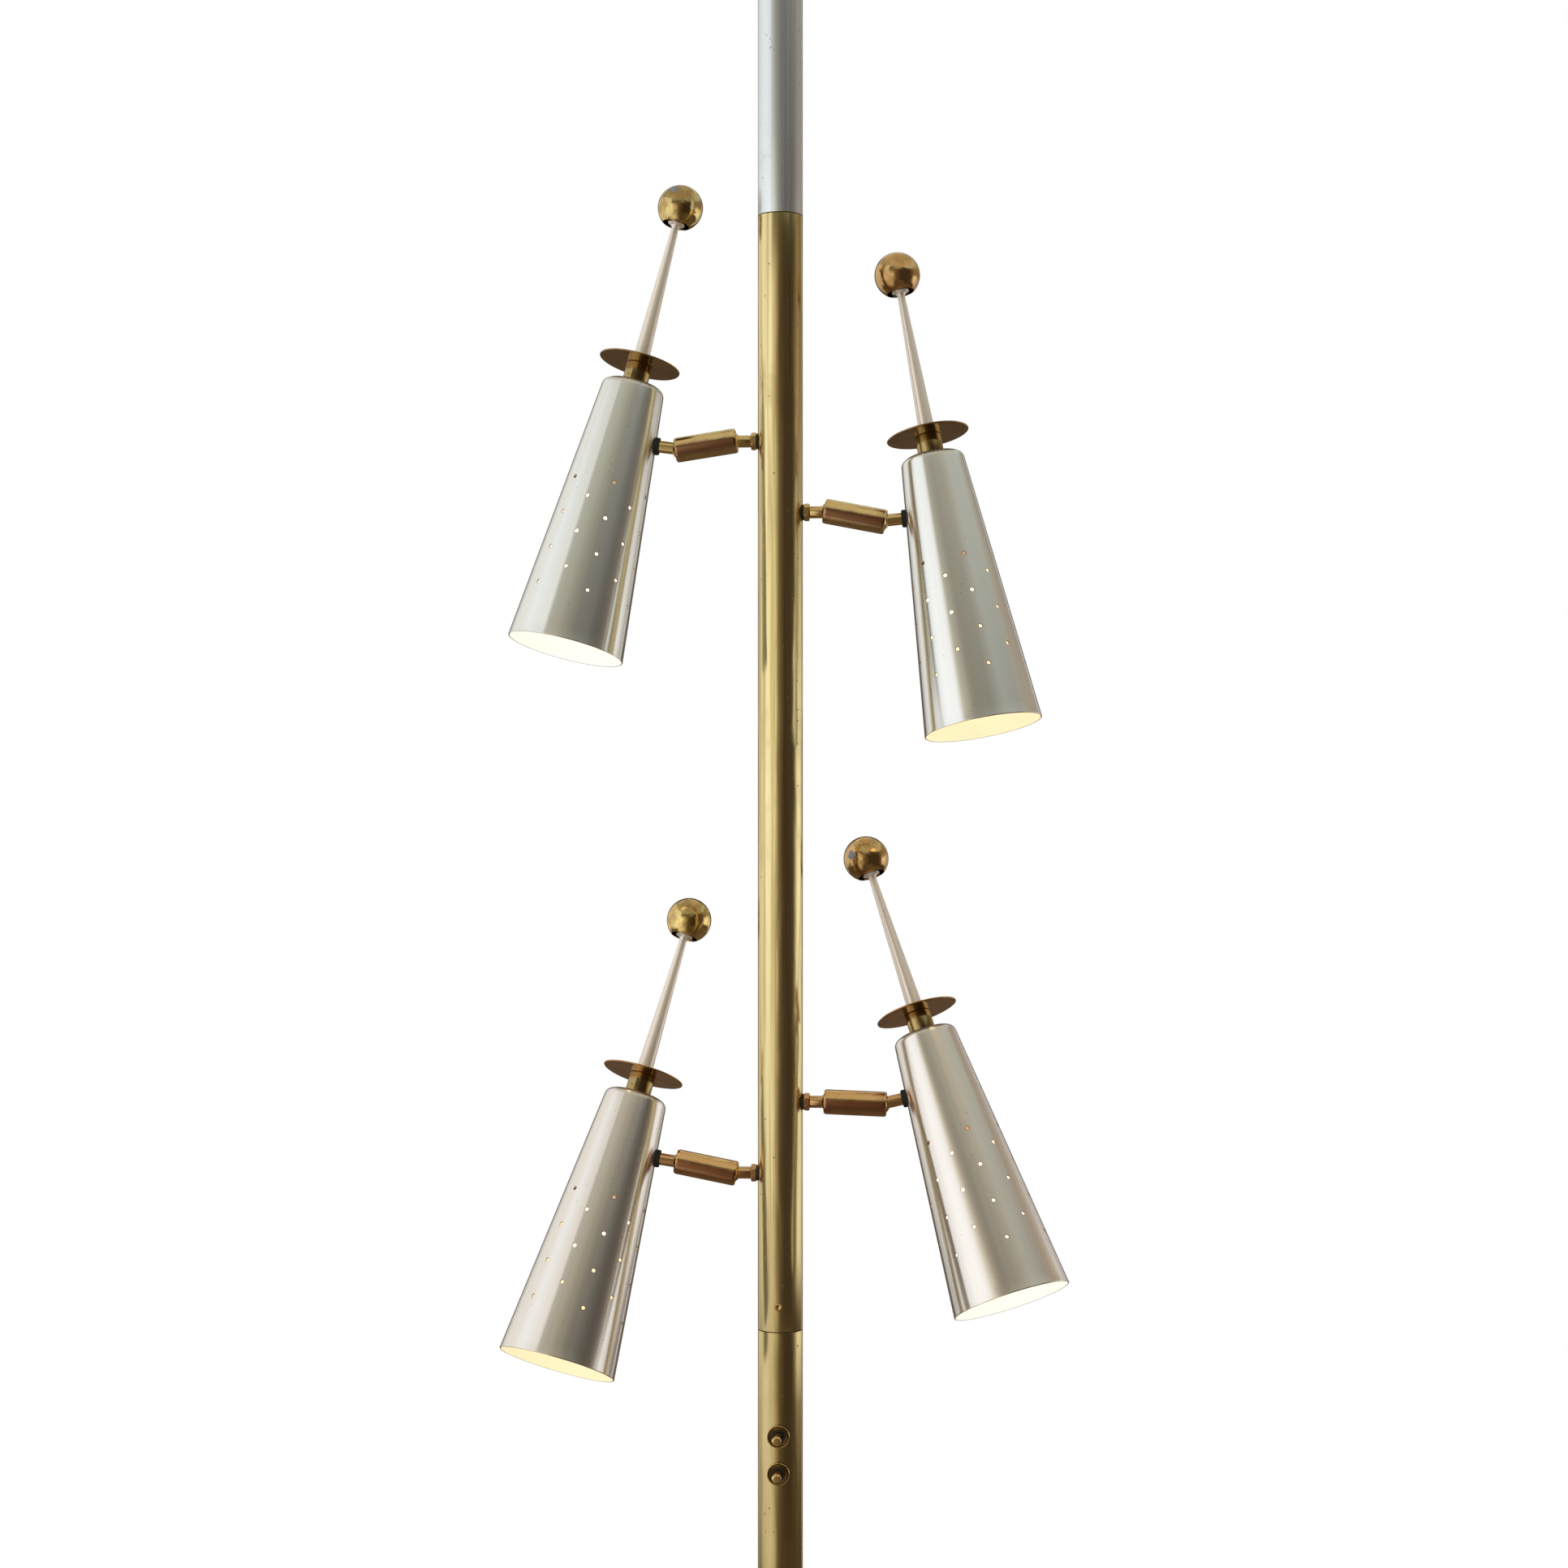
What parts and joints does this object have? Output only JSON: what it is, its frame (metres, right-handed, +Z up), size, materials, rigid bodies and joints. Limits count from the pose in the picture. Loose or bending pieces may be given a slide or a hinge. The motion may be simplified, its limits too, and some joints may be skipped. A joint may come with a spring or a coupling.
{
  "type": "tension pole lamp",
  "caption": "Floor-to-ceiling tension pole lamp: a brass and aluminium pole with pierced cone shades on double ball swivels, each topped by a disc, spindle and ball finial.",
  "frame": {"origin": "centre of the floor foot's underside, on the pole's axis", "axes": "+Z up the pole, -Y the side of the push switches, +X and -X the sides of the arms"},
  "size_m": [0.4707, 0.2023, 2.47],
  "materials": {
    "black_rubber": "matt",
    "brass_tube": "polished, lightly streaked",
    "aluminium_tube": "drawn, satin",
    "bright_steel": "plain",
    "brass": "polished",
    "amber_brass": "warm, brushed",
    "dark_brass": "browned",
    "black_fibre": "matt",
    "black_plastic": "moulded",
    "spun_aluminium": "spun, satin",
    "pale_aluminium": "satin",
    "opal_glass": "opal, lit"
  },
  "bodies": {
    "pole": {"floor_foot": "black_rubber", "lower_tube": "brass_tube", "middle_tube": "brass_tube", "upper_tube": "aluminium_tube", "tube_ferrules": "bright_steel", "cord_grommet": "black_rubber", "pole_nuts": "brass", "pole_washers": "black_fibre", "switch_bodies": "black_plastic", "switch_rings": "dark_brass", "plunger_spring": "bright_steel"},
    "plunger": {"plunger_tube": "aluminium_tube", "ceiling_pad": "black_rubber"},
    "button_upper": {"switch_button_upper": "brass"},
    "button_lower": {"switch_button_lower": "brass"},
    "lock": {"lock_button": "brass"},
    "neck_upper_left": {"pole_neck_upper_left": "brass"},
    "swivel_upper_left": {"barrel_upper_left": "amber_brass"},
    "shade_neck_upper_left": {"shade_neck_upper_left": "brass"},
    "head_upper_left": {"washer_upper_left": "black_rubber", "shade_upper_left": "spun_aluminium", "collar_upper_left": "amber_brass", "disc_upper_left": "dark_brass", "spindle_upper_left": "pale_aluminium", "finial_upper_left": "brass", "socket_upper_left": "bright_steel", "bulb_upper_left": "opal_glass"},
    "neck_upper_right": {"pole_neck_upper_right": "brass"},
    "swivel_upper_right": {"barrel_upper_right": "amber_brass"},
    "shade_neck_upper_right": {"shade_neck_upper_right": "brass"},
    "head_upper_right": {"washer_upper_right": "black_rubber", "shade_upper_right": "spun_aluminium", "collar_upper_right": "amber_brass", "disc_upper_right": "dark_brass", "spindle_upper_right": "pale_aluminium", "finial_upper_right": "brass", "socket_upper_right": "bright_steel", "bulb_upper_right": "opal_glass"},
    "neck_lower_right": {"pole_neck_lower_right": "brass"},
    "swivel_lower_right": {"barrel_lower_right": "amber_brass"},
    "shade_neck_lower_right": {"shade_neck_lower_right": "brass"},
    "head_lower_right": {"washer_lower_right": "black_rubber", "shade_lower_right": "spun_aluminium", "collar_lower_right": "amber_brass", "disc_lower_right": "dark_brass", "spindle_lower_right": "pale_aluminium", "finial_lower_right": "brass", "socket_lower_right": "bright_steel", "bulb_lower_right": "opal_glass"},
    "neck_lower_left": {"pole_neck_lower_left": "brass"},
    "swivel_lower_left": {"barrel_lower_left": "amber_brass"},
    "shade_neck_lower_left": {"shade_neck_lower_left": "brass"},
    "head_lower_left": {"washer_lower_left": "black_rubber", "shade_lower_left": "spun_aluminium", "collar_lower_left": "amber_brass", "disc_lower_left": "dark_brass", "spindle_lower_left": "pale_aluminium", "finial_lower_left": "brass", "socket_lower_left": "bright_steel", "bulb_lower_left": "opal_glass"}
  },
  "joints": [
    {"name": "plunger_slide", "type": "slide", "parent": "pole", "child": "plunger", "axis": [0, 0, 1], "range_m": [-0.05, 0], "stiffness_N_per_m": 900, "springref_m": 0.03, "deforming": ["plunger_spring"]},
    {"name": "button_upper_push", "type": "slide", "parent": "pole", "child": "button_upper", "axis": [0, 1, 0], "range_m": [0, 0.004], "stiffness_N_per_m": 400, "springref_m": -0.003},
    {"name": "button_lower_push", "type": "slide", "parent": "pole", "child": "button_lower", "axis": [0, 1, 0], "range_m": [0, 0.004], "stiffness_N_per_m": 400, "springref_m": -0.003},
    {"name": "lock_push", "type": "slide", "parent": "pole", "child": "lock", "axis": [0, 1, 0], "range_m": [0, 0.0035], "stiffness_N_per_m": 800, "springref_m": -0.003},
    {"name": "arm_turn_upper_left", "type": "hinge", "parent": "pole", "child": "neck_upper_left", "pos_m": [-0.0428, 0, 1.754], "axis": [-1, 0, 0], "range_deg": [-90, 90]},
    {"name": "barrel_tilt_upper_left", "type": "hinge", "parent": "neck_upper_left", "child": "swivel_upper_left", "pos_m": [-0.0428, 0, 1.754], "axis": [0, 1, 0], "range_deg": [-19, 13]},
    {"name": "shade_tilt_upper_left", "type": "hinge", "parent": "swivel_upper_left", "child": "shade_neck_upper_left", "pos_m": [-0.08374, 0, 1.74788], "axis": [0, -1, 0], "range_deg": [-12, 32]},
    {"name": "shade_turn_upper_left", "type": "hinge", "parent": "shade_neck_upper_left", "child": "head_upper_left", "pos_m": [-0.08374, 0, 1.74788], "axis": [-0.9914, 0, 0.1305], "range_deg": [-90, 90]},
    {"name": "arm_turn_upper_right", "type": "hinge", "parent": "pole", "child": "neck_upper_right", "pos_m": [0.0428, 0, 1.6935], "axis": [1, 0, 0], "range_deg": [-90, 90]},
    {"name": "barrel_tilt_upper_right", "type": "hinge", "parent": "neck_upper_right", "child": "swivel_upper_right", "pos_m": [0.0428, 0, 1.6935], "axis": [0, -1, 0], "range_deg": [-17, 15]},
    {"name": "shade_tilt_upper_right", "type": "hinge", "parent": "swivel_upper_right", "child": "shade_neck_upper_right", "pos_m": [0.08344, 0, 1.6856], "axis": [0, 1, 0], "range_deg": [-11.5, 30]},
    {"name": "shade_turn_upper_right", "type": "hinge", "parent": "shade_neck_upper_right", "child": "head_upper_right", "pos_m": [0.08344, 0, 1.6856], "axis": [0.9959, 0, 0.0906], "range_deg": [-90, 90]},
    {"name": "arm_turn_lower_right", "type": "hinge", "parent": "pole", "child": "neck_lower_right", "pos_m": [0.0428, 0, 1.1955], "axis": [1, 0, 0], "range_deg": [-90, 90]},
    {"name": "barrel_tilt_lower_right", "type": "hinge", "parent": "neck_lower_right", "child": "swivel_lower_right", "pos_m": [0.0428, 0, 1.1955], "axis": [0, -1, 0], "range_deg": [-26, 8]},
    {"name": "shade_tilt_lower_right", "type": "hinge", "parent": "swivel_lower_right", "child": "shade_neck_lower_right", "pos_m": [0.08417, 0, 1.19406], "axis": [0, 1, 0], "range_deg": [-8, 36]},
    {"name": "shade_turn_lower_right", "type": "hinge", "parent": "shade_neck_lower_right", "child": "head_lower_right", "pos_m": [0.08417, 0, 1.19406], "axis": [0.9724, 0, 0.2334], "range_deg": [-90, 90]},
    {"name": "arm_turn_lower_left", "type": "hinge", "parent": "pole", "child": "neck_lower_left", "pos_m": [-0.0428, 0, 1.135], "axis": [-1, 0, 0], "range_deg": [-90, 90]},
    {"name": "barrel_tilt_lower_left", "type": "hinge", "parent": "neck_lower_left", "child": "swivel_lower_left", "pos_m": [-0.0428, 0, 1.135], "axis": [0, 1, 0], "range_deg": [-30, 12]},
    {"name": "shade_tilt_lower_left", "type": "hinge", "parent": "swivel_lower_left", "child": "shade_neck_lower_left", "pos_m": [-0.08344, 0, 1.1429], "axis": [0, -1, 0], "range_deg": [-12, 25]},
    {"name": "shade_turn_lower_left", "type": "hinge", "parent": "shade_neck_lower_left", "child": "head_lower_left", "pos_m": [-0.08344, 0, 1.1429], "axis": [-0.9888, 0, 0.1495], "range_deg": [-90, 90]}
  ]
}
